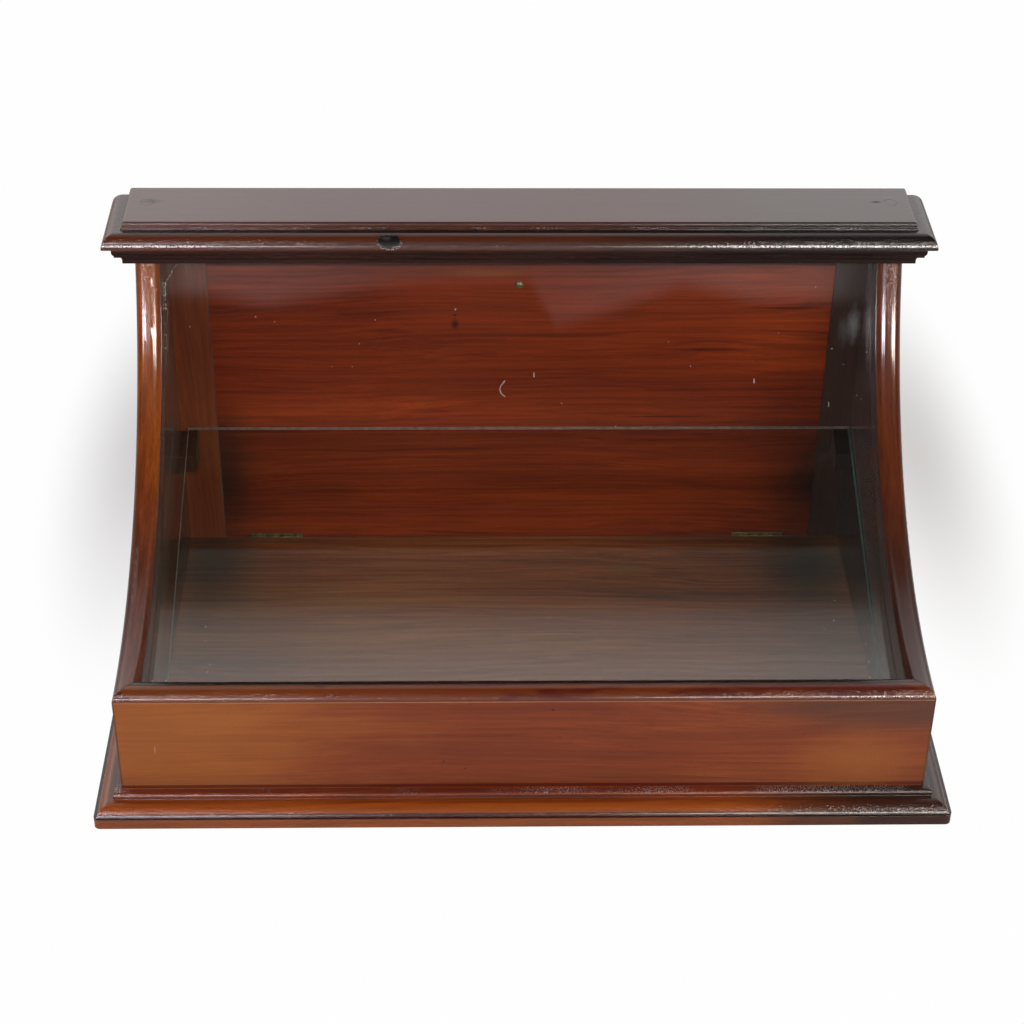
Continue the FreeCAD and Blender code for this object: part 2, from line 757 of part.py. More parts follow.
def revolve(body, plane, draw):
    """Turn a half section about the sketch's own upright axis."""
    sketch = new_sketch(body, "section", plane)
    draw(sketch)
    made = body.newObject("PartDesign::Revolution", f"{sketch.Label}_Revolution")
    made.Profile = sketch
    made.ReferenceAxis = (sketch, ["V_Axis"])
    made.Angle = 360
    doc.recompute()


def cut_slot(body, plane, offset, radius, depth, side):
    """The screwdriver's slot across a head."""
    sketch = new_sketch(body, "slot", plane, offset)
    draw_rectangle(sketch, f"-({radius} + overrun)", f"{radius} + overrun",
                   "-screw_slot / 2", "screw_slot / 2")
    pocket(sketch, depth, side)


def draw_countersunk(sketch):
    """Half of a hinge screw: flat head, 45 degree cone, shank and point."""
    draw_outline(sketch, [
        Corner("0", "0"),
        Corner("hinge_screw_head", "0"),
        Corner("hinge_screw_radius", "hinge_screw_radius - hinge_screw_head"),
        Corner("hinge_screw_radius", "hinge_screw_radius - hinge_screw_length"),
        Corner("0", "-hinge_screw_length"),
    ])


def make_hinge_screws(label, face, turn):
    """The screws of both leaves on one side of the hinges, heads flush with the leaves."""
    screws = []
    for number, place in enumerate(hinge_screw_places(), start=1):
        screw = new_body(f"{label}_{number}", place, f"{FRONT} + {SCREW_BACK}", face,
                         Rotation(Vector(1, 0, 0), turn), is_node=False)
        revolve(screw, "XZ", draw_countersunk)
        depth = "(hinge_screw_head - hinge_screw_radius) * slot_share"
        cut_slot(screw, "XY", "0", "hinge_screw_head", depth, "against")
        screws.append(screw)
    new_group(label, screws)


make_hinge_screws("hinge_frame_screws", f"{HINGE_HEIGHT} - leaf_gap / 2", 0)
make_hinge_screws("hinge_door_screws", f"{HINGE_HEIGHT} + leaf_gap / 2", 180)


def draw_cap_screw(sketch):
    """Half of a cap screw from under its pan head, which stands on the plug hole's floor."""
    length = f"({CAP_HEIGHT} - plug_depth + cap_screw_grip)"
    draw_outline(sketch, [
        Corner("0", f"-{length}"),
        Corner("cap_screw_radius", f"cap_screw_radius - {length}"),
        Corner("cap_screw_radius", "0"),
        Corner("cap_screw_head", "0"),
        Corner("cap_screw_head", "cap_screw_head_height / 2"),
        Corner("cap_screw_radius", "cap_screw_head_height"),
        Corner("0", "cap_screw_head_height"),
    ])


def make_cap_screws():
    """A screw through each end of the cap into the side board, and the plug that hides it."""
    screws = []
    plugs = []
    for number, sign in enumerate((-1, 1), start=1):
        place = (f"{sign} * {CAP_SCREW_SIDE}", f"{FRONT} + {CAP_SCREW_BACK}", PLUG_FLOOR)
        screw = new_body(f"cap_screw_{number}", *place, is_node=False)
        revolve(screw, "XZ", draw_cap_screw)
        cut_slot(screw, "XY", "cap_screw_head_height", "cap_screw_head",
                 "cap_screw_head_height * slot_share", "against")
        screws.append(screw)
        plug = new_body(f"cap_plug_{number}", *place, is_node=False)
        disc = new_sketch(plug, "section", "XY", "cap_screw_head_height + plug_clearance")
        draw_circle(disc, "0", "0", "plug_radius")
        pad(disc, "plug_depth - cap_screw_head_height - plug_clearance")
        plugs.append(plug)
    new_group("cap_screws", screws)
    new_group("cap_plugs", plugs)


make_cap_screws()


# Knob and its screw: both turned about y, the knob from the door's outer face


def draw_knob(sketch):
    bore = "(knob_screw_radius + bore_clearance)"
    belly = "(knob_radius - knob_neck_radius)"
    below = f"(({belly}^2 + (knob_belly_height - knob_neck_height)^2) / (2 * {belly}))"
    above = f"(({belly}^2 + (knob_height - knob_belly_height)^2) / (2 * {belly}))"
    draw_outline(sketch, [
        Corner(bore, "0"),
        Corner("knob_foot_radius", "0"),
        Corner("knob_foot_radius", "knob_foot_height"),
        Corner("knob_neck_radius", "knob_neck_height", below, "left"),
        Corner("knob_radius", "knob_belly_height", above, "left"),
        Corner("knob_neck_radius", "knob_height"),
        Corner("0", "knob_height"),
        Corner("0", "knob_bore_depth"),
        Corner(bore, "knob_bore_depth"),
    ])


revolve(new_body("door_knob", KNOB_SIDE, "case_depth / 2", KNOB_HEIGHT), "XY", draw_knob)


def make_round_screw(label, y, z, prefix, length, outward):
    """A round-head screw along y; outward -1 puts its head in front of its zero, 1 behind it."""
    body = new_body(label, KNOB_SIDE, y, z)
    head = f"{prefix}_head"
    rise = f"{prefix}_head_height"
    shank = f"{prefix}_radius"

    def draw(sketch):
        draw_outline(sketch, [
            Corner("0", f"{outward} * {rise}", f"(({head}^2 + {rise}^2) / (2 * {rise}))",
                   "left" if outward < 0 else "right"),
            Corner(head, "0"),
            Corner(shank, "0"),
            Corner(shank, f"{outward} * ({shank} - {length})"),
            Corner("0", f"{outward} * -{length}"),
        ])

    revolve(body, "XY", draw)
    cut_slot(body, "XZ", f"{outward} * -{rise}", head, f"{rise} * slot_share",
             "along" if outward > 0 else "against")


make_round_screw("knob_screw", f"{FRONT} + {FRAME_FRONT}", KNOB_HEIGHT, "knob_screw",
                 "(frame_thickness + knob_screw_grip)", -1)
BUTTON_SPACE = "(2 * button_gap + button_thickness)"
make_round_screw("turn_button_screw", f"case_depth / 2 + {BUTTON_SPACE}", BUTTON_HEIGHT, "button_screw",
                 f"({BUTTON_SPACE} + button_screw_grip)", 1)


# Turn button: a bar with round ends that swings over the door's top edge


def make_button():
    body = new_body("turn_button", KNOB_SIDE, "case_depth / 2 + button_gap", BUTTON_HEIGHT)
    half = "(button_width / 2)"
    straight = f"(button_length / 2 - {half})"
    outline = new_sketch(body, "outline", "XZ")
    draw_outline(outline, [
        Corner(f"-{straight}", f"-{half}"),
        Corner(straight, f"-{half}", half, "left"),
        Corner(f"{straight} + {half}", "0", half, "left"),
        Corner(straight, half),
        Corner(f"-{straight}", half, half, "left"),
        Corner(f"-{straight} - {half}", "0", half, "left"),
    ])
    bar = pad(outline, "button_thickness", "against")
    outer = value("button_thickness")
    dress("Fillet", bar, "button_edge_radius", lambda edge: same(middle(edge).y, outer))
    drill(body, "hole", "XZ", "overrun", [("0", "0")], "button_screw_radius + pin_clearance",
          "button_thickness + 2 * overrun", "against")


make_button()

# Check every object, then write each piece to its own file
doc.recompute()
for thing in doc.Objects:
    if {"Invalid", "Error"} & set(thing.State):
        raise RuntimeError(f"{thing.Label} failed: {thing.State}")
os.makedirs("parts", exist_ok=True)
for piece in parts:
    if piece.Shape.isNull() or not piece.Shape.isValid() or not piece.Shape.Solids:
        raise RuntimeError(f"{piece.Label} has no sound shape")
for piece in parts:
    piece.Shape.exportStep(f"parts/{piece.Label}.step")
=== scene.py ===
"""Looks of the countertop display case: varnished wood, bent glass, brass hinges and their wear."""

import math
import random
from collections import namedtuple

import bpy
from mathutils import Matrix, Vector


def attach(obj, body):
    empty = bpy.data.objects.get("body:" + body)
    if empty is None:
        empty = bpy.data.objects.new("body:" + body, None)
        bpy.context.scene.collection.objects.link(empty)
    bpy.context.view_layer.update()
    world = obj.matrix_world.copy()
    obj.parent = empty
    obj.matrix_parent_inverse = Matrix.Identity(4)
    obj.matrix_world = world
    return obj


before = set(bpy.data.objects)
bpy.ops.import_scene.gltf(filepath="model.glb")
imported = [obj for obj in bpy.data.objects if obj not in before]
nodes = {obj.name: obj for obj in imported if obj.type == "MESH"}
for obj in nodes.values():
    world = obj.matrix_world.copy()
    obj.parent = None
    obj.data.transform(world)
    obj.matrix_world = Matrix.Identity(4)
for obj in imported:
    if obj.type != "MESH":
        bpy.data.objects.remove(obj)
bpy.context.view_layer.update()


# Places on the case that several looks share, in metres


FRONT_FACE = -0.1485
DOOR_FACE = 0.1365
SIDE_INNER = 0.243
FLOOR_TOP = 0.010
CAP_TOP = 0.298
NOSING_FOOT = 0.0915
GLASS_CENTRE = Vector((0.0, -0.1435, 0.3587))
GLASS_RADIUS = 0.284
SHELF_ANGLE = math.radians(20.2)
SHELF_SLOPE = math.tan(SHELF_ANGLE)
SHELF_UP = Vector((0.0, -math.sin(SHELF_ANGLE), math.cos(SHELF_ANGLE)))
SHELF_FOOT_Y, SHELF_FOOT_Z = -0.1302, 0.0132
SHELF_LEFT, SHELF_RIGHT, SHELF_FRONT, SHELF_BACK = -0.2380, 0.2427, -0.1290, 0.1342


# Colours are written as on screen and turned into light


def linear(text, share=1.0):
    """A colour written as six hexadecimal digits, as the four numbers that a socket takes."""
    channels = [int(text[i:i + 2], 16) / 255 for i in (1, 3, 5)]
    light = [c / 12.92 if c <= 0.04045 else ((c + 0.055) / 1.055) ** 2.4 for c in channels]
    return (*(share * c for c in light), 1.0)


class Graph:
    """The node tree of a material or of the world, made by calls that each return a socket."""

    def __init__(self, owner):
        owner.use_nodes = True
        self.owner = owner
        self.tree = owner.node_tree
        self.tree.nodes.clear()

    def node(self, kind, inputs=None, **settings):
        """A shader node with its settings; its inputs are sockets or plain values."""
        made = self.tree.nodes.new(f"ShaderNode{kind}")
        for name, setting in settings.items():
            setattr(made, name, setting)
        for name, source in (inputs or {}).items():
            self.feed(made.inputs[name], source)
        return made

    def feed(self, socket, source):
        """Give an input another node's output, or a plain value."""
        if isinstance(source, bpy.types.NodeSocket):
            self.tree.links.new(source, socket)
        else:
            socket.default_value = source

    def place(self):
        """The place on the case, in metres."""
        return self.node("TexCoord").outputs["Object"]

    def split(self, vector):
        """The three coordinates of a place."""
        made = self.node("SeparateXYZ", {"Vector": vector})
        return [made.outputs[axis] for axis in "XYZ"]

    def stretched(self, vector, scale, shift=(0, 0, 0)):
        inputs = {"Vector": vector, "Scale": scale, "Location": shift}
        return self.node("Mapping", inputs).outputs["Vector"]

    def noise(self, vector, scale=1.0, detail=3.0, roughness=0.5):
        inputs = {"Vector": vector, "Scale": scale, "Detail": detail, "Roughness": roughness}
        return self.node("TexNoise", inputs).outputs["Fac"]

    def math(self, operation, first, second=0.0, third=0.0, clamp=False):
        made = self.node("Math", operation=operation, use_clamp=clamp)
        for socket, source in zip(made.inputs, (first, second, third)):
            self.feed(socket, source)
        return made.outputs[0]

    def vector(self, operation, first, second=(0, 0, 0), output="Vector"):
        made = self.node("VectorMath", operation=operation)
        for socket, source in zip(made.inputs, (first, second)):
            self.feed(socket, source)
        return made.outputs[output]

    def fit(self, value, low, high, to_low=0.0, to_high=1.0, smooth=True):
        """A value mapped from one span to another, and held at its ends."""
        inputs = {"Value": value, "From Min": low, "From Max": high, "To Min": to_low, "To Max": to_high}
        kind = "SMOOTHSTEP" if smooth else "LINEAR"
        return self.node("MapRange", inputs, interpolation_type=kind, clamp=True).outputs["Result"]

    def mix(self, share, first, second, blend="MIX"):
        """Two colours mixed; a share of 0 gives the first."""
        made = self.node("Mix", data_type="RGBA", blend_type=blend, clamp_factor=True)
        for socket, source in ((made.inputs[0], share), (made.inputs[6], first), (made.inputs[7], second)):
            self.feed(socket, source)
        return made.outputs[2]

    def either(self, share, first, second):
        """Two shaders mixed; a share of 0 gives the first."""
        made = self.node("MixShader")
        for socket, source in zip(made.inputs, (share, first, second)):
            self.feed(socket, source)
        return made.outputs[0]

    def spot(self, vector, centre, radii, ragged=0.0):
        """1 in the middle of a soft ellipsoid, down to 0 at its rim, which noise can break up."""
        scaled = self.vector("DIVIDE", self.vector("SUBTRACT", vector, centre), radii)
        distance = self.vector("LENGTH", scaled, output="Value")
        if ragged:
            rough = self.noise(scaled, scale=1.6, detail=4.0, roughness=0.7)
            distance = self.math("ADD", distance, self.math("MULTIPLY_ADD", rough, 2 * ragged, -ragged))
        return self.fit(distance, 0.0, 1.0, 1.0, 0.0)

    def bump(self, height, distance, strength, normal=None):
        inputs = {"Height": height, "Distance": distance, "Strength": strength}
        if normal is not None:
            inputs["Normal"] = normal
        return self.node("Bump", inputs).outputs["Normal"]

    def in_view(self):
        """1 for what the camera sees straight on or through clear glass, and 0 for any bounced ray."""
        ray = self.node("LightPath").outputs
        bounced = self.math("ADD", ray["Diffuse Depth"], ray["Glossy Depth"])
        straight = self.math("SUBTRACT", 1.0, bounced, clamp=True)
        return self.math("MAXIMUM", ray["Is Camera Ray"],
                         self.math("MULTIPLY", ray["Is Transmission Ray"], straight))

    def finish(self, shader, output="OutputMaterial"):
        """Join a shader to the output; returns the material or world that the tree belongs to."""
        self.node(output, {"Surface": shader})
        return self.owner


# Wood: stretched noises along the grain under a varnish


Mark = namedtuple("Mark", "centre radii colour strength ragged matt", defaults=(0.0, 0.0))
AXIS = {"x": 0, "y": 1, "z": 2}
EDGE_RADIUS = 0.0007
WORN = "#8a5a3c"
MIDDLE_TONE = 0.5
GRAIN_SWAY = 0.03
VARNISH_BUMP = 0.0004


def stained(g, tone, streaks, pores, dark, middle, light):
    """Three stains by tone, with the streaks and pores in a deeper shade of the darkest."""
    low = g.mix(g.fit(tone, 0.0, MIDDLE_TONE, smooth=False), linear(dark), linear(middle))
    colour = g.mix(g.fit(tone, MIDDLE_TONE, 1.0, smooth=False), low, linear(light))
    colour = g.mix(g.fit(streaks, 0.62, 0.72, 0.0, 0.45), colour, linear(dark, 0.6))
    return g.mix(g.fit(pores, 0.60, 0.70, 0.0, 0.4), colour, linear(dark, 0.45))


def fibrous(g, fibres, pores, colour, depth):
    """The colour a little lighter and darker along the fibres and pores."""
    fine = g.math("MULTIPLY_ADD", fibres, 0.7, g.math("MULTIPLY", pores, 0.3))
    grey = g.fit(fine, 0.38, 0.62, 1.0 - depth, 1.0 + depth)
    both = g.node("CombineColor", {"Red": grey, "Green": grey, "Blue": grey})
    return g.mix(1.0, colour, both.outputs[0], "MULTIPLY")


def worn_edges(g, place, edge, colour):
    """Stain rubbed through in patches, where the rounded edge's normal turns away from the face."""
    facing = g.vector("DOT_PRODUCT", edge, g.node("NewGeometry").outputs["Normal"], "Value")
    patchy = g.fit(g.noise(place, scale=130.0, detail=4.0, roughness=0.7), 0.4, 0.62)
    worn = g.math("MULTIPLY", g.fit(facing, 0.8, 0.97, 0.5, 0.0), patchy)
    return g.mix(worn, colour, linear(WORN))


def wood(name, dark, middle, light, grain, seed, coat=1.0, gloss=0.12, ripples=0.5, peel=0.3, depth=0.14,
         through=1.0, marks=(), shade=None, crackle=None):
    """Varnished wood, with its grain along an axis.

    coat, gloss: how strong the varnish is and how rough
    ripples, peel: how high its waves and its fine nibs are
    depth: how far the fibres change the colour
    through: how fast the lines change from front to back, as a share
    shade, crackle: functions of the place, which tint the wood and pit the varnish
    """
    g = Graph(bpy.data.materials.new(name))
    place = g.place()

    def scaled(length, width):
        scale = [width, through * width, width]
        scale[AXIS[grain]] = length
        return tuple(scale)

    sway = g.noise(g.stretched(place, scaled(3, 14), (seed, 0, seed)), detail=2.0)
    offset = g.node("CombineXYZ")
    for axis in range(3):
        if axis != AXIS[grain]:
            g.feed(offset.inputs[axis], g.math("MULTIPLY", sway, GRAIN_SWAY))
    way = g.vector("ADD", place, offset.outputs[0])

    bands = g.noise(g.stretched(way, scaled(1.6, 38), (0, seed, 0)), detail=3.0, roughness=0.6)
    fibres = g.noise(g.stretched(way, scaled(7, 380), (seed, seed, 0)), detail=4.0, roughness=0.65)
    streaks = g.noise(g.stretched(way, scaled(6, 210), (seed, 0, 3 * seed)), detail=2.0)
    pores = g.noise(g.stretched(way, scaled(55, 1700), (0, 0, seed)), detail=2.0)
    clouds = g.noise(g.stretched(place, (5, 5, 7), (seed, 2 * seed, 0)), detail=2.0)
    tone = g.math("MULTIPLY_ADD", bands, 1.1, g.math("MULTIPLY", fibres, 0.55))
    tone = g.math("ADD", tone, g.math("MULTIPLY", clouds, 0.8))
    tone = g.fit(tone, 0.85, 1.6, 0.0, 1.0, smooth=False)

    colour = stained(g, tone, streaks, pores, dark, middle, light)
    if shade:
        colour = shade(g, place, colour)
    colour = fibrous(g, fibres, pores, colour, depth)
    varnish = coat
    for mark in marks:
        share = g.math("MULTIPLY", g.spot(place, mark.centre, mark.radii, mark.ragged), mark.strength)
        colour = g.mix(share, colour, linear(mark.colour))
        if mark.matt:
            varnish = g.math("MULTIPLY", varnish, g.math("MULTIPLY_ADD", share, -mark.matt, 1.0))
    edge = g.node("Bevel", {"Radius": EDGE_RADIUS}, samples=4).outputs["Normal"]
    colour = worn_edges(g, place, edge, colour)

    nibs = g.noise(place, scale=620.0, detail=3.0, roughness=0.6)
    ripple = g.noise(g.stretched(place, scaled(60, 220)), detail=2.0)
    height = g.math("MULTIPLY_ADD", nibs, peel, g.math("MULTIPLY", ripple, ripples))
    if crackle:
        pits = g.fit(g.noise(place, scale=700.0, detail=1.5), 0.55, 0.64, 0.0, -0.7)
        height = g.math("MULTIPLY_ADD", pits, crackle(g, place), height)
    normal = g.bump(height, VARNISH_BUMP, 0.3, edge)
    shader = g.node("BsdfPrincipled", {
        "Base Color": colour, "Roughness": g.fit(clouds, 0.3, 0.7, 0.38, 0.52), "Normal": normal,
        "IOR": 1.5, "Specular IOR Level": 0.05, "Coat Weight": varnish, "Coat Roughness": gloss,
        "Coat IOR": 1.5, "Coat Normal": normal,
    })
    return g.finish(shader.outputs[0])


def glass(name, tint):
    """Clear glass that lets the light on the wood behind it straight through."""
    g = Graph(bpy.data.materials.new(name))
    pane = g.node("BsdfPrincipled", {
        "Base Color": linear(tint), "Roughness": 0.0, "IOR": 1.5, "Transmission Weight": 1.0,
    })
    clear = g.node("BsdfTransparent", {"Color": linear("#fafcfa")})
    ray = g.node("LightPath").outputs
    through = g.math("MAXIMUM", ray["Is Shadow Ray"], ray["Is Diffuse Ray"])
    return g.finish(g.either(through, pane.outputs[0], clear.outputs[0]))


def metal(name, colour, dull, rough):
    """Metal with patches of tarnish, which are duller and rougher."""
    g = Graph(bpy.data.materials.new(name))
    place = g.place()
    tarnish = g.fit(g.noise(place, scale=260.0, detail=4.0, roughness=0.6), 0.4, 0.65)
    base = g.mix(tarnish, linear(colour), linear(dull))
    normal = g.bump(g.noise(place, scale=1400.0, detail=2.0), 0.0002, 0.4)
    shader = g.node("BsdfPrincipled", {
        "Base Color": base, "Metallic": g.fit(tarnish, 0.0, 1.0, 1.0, 0.7),
        "Roughness": g.fit(tarnish, 0.0, 1.0, rough, rough + 0.25), "Normal": normal,
    })
    return g.finish(shader.outputs[0])


# How stain and wear change over the wooden parts, with painted shade, reflections and glints; x runs to
# the right, y back and z up


def between(g, value, low, high, soft=0.0003):
    """1 between two values and 0 outside them."""
    rise = g.fit(value, low - soft, low)
    return g.math("MULTIPLY", rise, g.fit(value, high, high + soft, 1.0, 0.0))


def zone(g, value, low, high, colour, tint, strength, soft=0.001):
    """Tint the stretch between two values of a coordinate."""
    share = g.math("MULTIPLY", between(g, value, low, high, soft), strength)
    return g.mix(share, colour, linear(tint))


def painted_glints(g, place, colour, where, pale="#c8bebc", rare=0.6):
    """Painted highlights: pale dots in the colour that stand in for glints on broken varnish, as thick as
    a share of the place allows.
    """
    dots = g.fit(g.noise(place, scale=1300.0, detail=1.0), rare, rare + 0.06)
    return g.mix(g.math("MULTIPLY", dots, where), colour, linear(pale))


def on_nosing(g, place):
    """1 on the side boards' rounded front edges, which follow the bent glass."""
    _, y, z = g.split(place)
    aside = g.math("SUBTRACT", y, GLASS_CENTRE.y)
    below = g.math("SUBTRACT", z, GLASS_CENTRE.z)
    squares = g.math("MULTIPLY_ADD", aside, aside, g.math("MULTIPLY", below, below))
    return g.fit(g.math("SQRT", squares), 0.268, 0.274, 1.0, 0.0)


def side_shade(g, place, colour):
    """The side boards' inner faces made dark, with a painted shadow of the shelf below it, a darker,
    redder right side, and a painted reflection low on the nosings.
    """
    x, y, z = g.split(place)
    colour = g.mix(g.fit(x, 0.1, 0.2, 0.0, 0.8), colour, linear("#54220f"))
    # Painted shadow of the shelf: the inner faces turn dark green below its top face
    shelf = g.math("MULTIPLY_ADD", y, SHELF_SLOPE, SHELF_FOOT_Z - SHELF_FOOT_Y * SHELF_SLOPE)
    below = g.fit(g.math("SUBTRACT", z, shelf), -0.001, 0.001, 1.0, 0.0)
    inner_dark_and_shelf_shadow = g.mix(below, linear("#2f2622"), linear("#121a18"))
    # Painted reflection: the nosings' lower part is tinted darker and mauve, darker still at the right
    foot = g.math("MULTIPLY", g.fit(z, 0.100, 0.165, 0.8, 0.0), on_nosing(g, place))
    colour = g.mix(foot, colour, g.mix(g.fit(x, -0.1, 0.1), linear("#4a2823"), linear("#241411")))
    inner = g.fit(g.math("ABSOLUTE", x), SIDE_INNER + 0.0002, SIDE_INNER + 0.0008, 0.96, 0.0)
    return g.mix(inner, colour, inner_dark_and_shelf_shadow)


def top_crackle(g, place):
    """Pitted varnish near the top of the side boards' front edges."""
    return g.math("MULTIPLY", g.fit(g.split(place)[2], 0.222, 0.240), on_nosing(g, place))


def end_crackle(g, place):
    """Pitted varnish towards the ends of the mouldings, but hardly on the cap's top."""
    x, _, z = g.split(place)
    ends = g.fit(g.math("ABSOLUTE", x), 0.10, 0.22, 0.25, 1.5)
    return g.math("MULTIPLY", ends, g.fit(z, CAP_TOP - 0.0015, CAP_TOP - 0.0010, 1.0, 0.03))


def front_shade(g, place, colour):
    """The front board: golden to the left, a dark nosing over a light quirk line that is partly worn
    varnish and partly a painted highlight, painted shade in the groove for the glass, painted glints at
    the nosing's ends, and a red foot.
    """
    x, y, z = g.split(place)
    drift = g.math("MULTIPLY_ADD", g.noise(g.stretched(place, (12, 30, 40)), detail=3.0), 0.16, -0.08)
    golden = g.fit(g.math("ADD", x, drift), -0.21, -0.05, 0.85, 0.0)
    colour = g.mix(golden, colour, linear("#a05a1c"))
    dull = g.math("MULTIPLY", g.fit(g.math("ADD", x, drift), 0.10, 0.24), g.fit(z, 0.055, 0.080))
    colour = g.mix(g.math("MULTIPLY", dull, 0.85), colour, linear("#54301f"))
    colour = g.mix(g.fit(z, 0.022, 0.036, 0.3, 0.0), colour, linear("#5c2a12"))
    colour = zone(g, z, NOSING_FOOT, 0.2, colour, "#622a0a", 0.8)
    red = g.fit(g.noise(g.stretched(place, (14, 60, 60)), detail=3.0), 0.52, 0.6, 0.0, 0.75)
    nosing = g.math("MULTIPLY", g.fit(z, NOSING_FOOT, NOSING_FOOT + 0.0007), red)
    colour = g.mix(nosing, colour, linear("#4a0f07"))
    # Partly worn varnish and partly a painted highlight: the light line under the nosing
    colour = zone(g, z, 0.0904, 0.0909, colour, "#a87c5c", 0.6, 0.0003)
    # Painted shade in the groove that holds the glass
    colour = g.mix(g.fit(y, -0.1402, -0.1392), colour, linear("#1c0704"))
    # Painted glints at the nosing's ends
    ends = g.math("MAXIMUM", g.fit(x, -0.256, -0.250, 0.8, 0.0), g.fit(x, 0.17, 0.24, 0.0, 0.8))
    glints = g.math("MULTIPLY", between(g, z, 0.0926, 0.0936, 0.0005), ends)
    colour = painted_glints(g, place, colour, glints, rare=0.54)
    corner = g.fit(g.math("ABSOLUTE", x), 0.2585, 0.2595)
    outline = g.math("MULTIPLY", corner, g.fit(z, NOSING_FOOT, NOSING_FOOT - 0.0010))
    colour = g.mix(g.math("MULTIPLY", outline, 0.6), colour, linear("#2c120a"))
    return zone(g, z, 0.0195, 0.0215, colour, "#4c0d05", 0.8, 0.0006)


def stile_shade(g, place, colour):
    """The right stile is made nearly black on its inner face."""
    x, y, _ = g.split(place)
    inside = g.math("MULTIPLY", g.fit(y, 0.1375, 0.1400, 0.95, 0.0), g.fit(x, 0.0, 0.1))
    return g.mix(inside, colour, linear("#33241f"))


def cleat_shade(g, place, colour):
    """The right cleat is made dark as well."""
    return g.mix(g.fit(g.split(place)[0], 0.0, 0.1, 0.0, 0.9), colour, linear("#221a17"))


def back_shade(g, place, colour):
    """Browner outside than in, where the stain is red."""
    return g.mix(g.fit(g.split(place)[1], 0.1400, 0.1475, 0.0, 0.75), colour, linear("#64300f"))


def bed_shade(g, place, colour):
    """The mouldings under the cap are nearly black at the right."""
    return g.mix(g.fit(g.split(place)[0], 0.0, 0.22, 0.0, 0.65), colour, linear("#0c0807"))


CHIP = (-0.0876, 0.0870, 0.2895)
CHIP_PIT = (-0.0876, 0.0876, 0.2903)
CAP_BANDS = (
    # Height from and to, tint, strength and softness
    (0.2870, 0.2880, "#24100a", 0.5, 0.0014),
    # Painted shade in the hollow at the foot of the raised top
    (0.2930, 0.2938, "#140806", 0.8, 0.0005),
)


def cap_shade(g, place, colour):
    """The cap: orange-brown on the nose at the left, near black at the right, with a chipped place,
    painted shade in the hollow under the raised top, painted glints, and a greyish top that is partly a
    painted reflection.
    """
    x, _, z = g.split(place)
    below = g.fit(z, CAP_TOP - 0.0015, CAP_TOP - 0.0005, 1.0, 0.0)
    warm = g.math("MULTIPLY", below, g.fit(x, -0.27, 0.12, 0.85, 0.15))
    colour = g.mix(warm, colour, linear("#5a2a10"))
    dark = g.fit(x, 0.0, 0.20, 0.0, 0.94)
    colour = g.mix(dark, colour, linear("#120e0d"))
    for low, high, tint, strength, soft in CAP_BANDS:
        colour = zone(g, z, low, high, colour, tint, strength, soft)
    # Painted glints at the nose's ends, along the crown's edge and round the chip's rim
    ends = g.math("MAXIMUM", g.fit(x, -0.240, -0.190, 0.8, 0.0), g.fit(x, 0.08, 0.17))
    glints = g.math("MULTIPLY", between(g, z, 0.2867, 0.2877, 0.0005), ends)
    colour = painted_glints(g, place, colour, glints, "#ece4e2", 0.48)
    broken = g.fit(g.noise(place, scale=30.0), 0.5, 0.65, 0.0, 0.7)
    glints = g.math("MULTIPLY", between(g, z, 0.2941, 0.2946), broken)
    colour = painted_glints(g, place, colour, glints, rare=0.56)
    rim = g.fit(g.spot(place, CHIP, (0.0115, 0.0090, 0.0072)), 0.1, 0.25, 0.0, 0.95)
    colour = painted_glints(g, place, colour, rim, rare=0.55)
    pit = g.fit(g.spot(place, CHIP_PIT, (0.0110, 0.0085, 0.0066), 0.2), 0.15, 0.35)
    colour = g.mix(pit, colour, linear("#120e0d"))
    # Partly a painted reflection of the room: the top's flat greyish colours, lighter to the left
    top = g.mix(g.fit(x, -0.26, -0.10), linear("#59433e"), linear("#492a27"))
    top = g.mix(g.fit(x, 0.05, 0.22), top, linear("#423c3a"))
    return g.mix(g.math("SUBTRACT", 0.9, below, clamp=True), colour, top)


PLINTH_BANDS = (
    # Height from and to, tint, strength and softness
    (0.0, 0.0066, "#9a5a30", 0.5, 0.0006),
    (0.0102, 0.0132, "#9e4e16", 0.7, 0.0006),
    # Painted shade in the hollow under the ovolo
    (0.0074, 0.0096, "#2c1414", 0.85, 0.0005),
    # Painted reflection of the floor: a grey-mauve band on the bead
    (0.0142, 0.0156, "#5a4448", 0.8, 0.0004),
    (0.0182, 0.03, "#5a2018", 0.6, 0.0004),
)


def plinth_shade(g, place, colour):
    """Painted shade in the hollow under the ovolo, a painted reflection on the bead, a golden ovolo, a
    darker right end and painted glints.
    """
    x, y, z = g.split(place)
    for low, high, tint, strength, soft in PLINTH_BANDS:
        colour = zone(g, z, low, high, colour, tint, strength, soft)
    drift = g.math("MULTIPLY", g.noise(place, scale=22.0), 0.1)
    dull = g.fit(g.math("ADD", x, drift), 0.17, 0.28, 0.0, 0.9)
    colour = g.mix(dull, colour, linear("#1e1413"))
    # Painted glints at the ovolo's ends and along the bead
    ends = g.math("MAXIMUM", g.fit(x, -0.268, -0.258, 0.6, 0.0), g.fit(x, 0.18, 0.24, 0.0, 0.6))
    glints = g.math("MULTIPLY", between(g, z, 0.0090, 0.0108, 0.0005), ends)
    colour = painted_glints(g, place, colour, glints)
    broken = g.fit(g.noise(place, scale=14.0), 0.45, 0.6, 0.0, 0.5)
    middle = g.math("MULTIPLY", broken, g.fit(y, -0.140, -0.150))
    glints = g.math("MULTIPLY", between(g, z, 0.0178, 0.0186), middle)
    return painted_glints(g, place, colour, glints, rare=0.55)
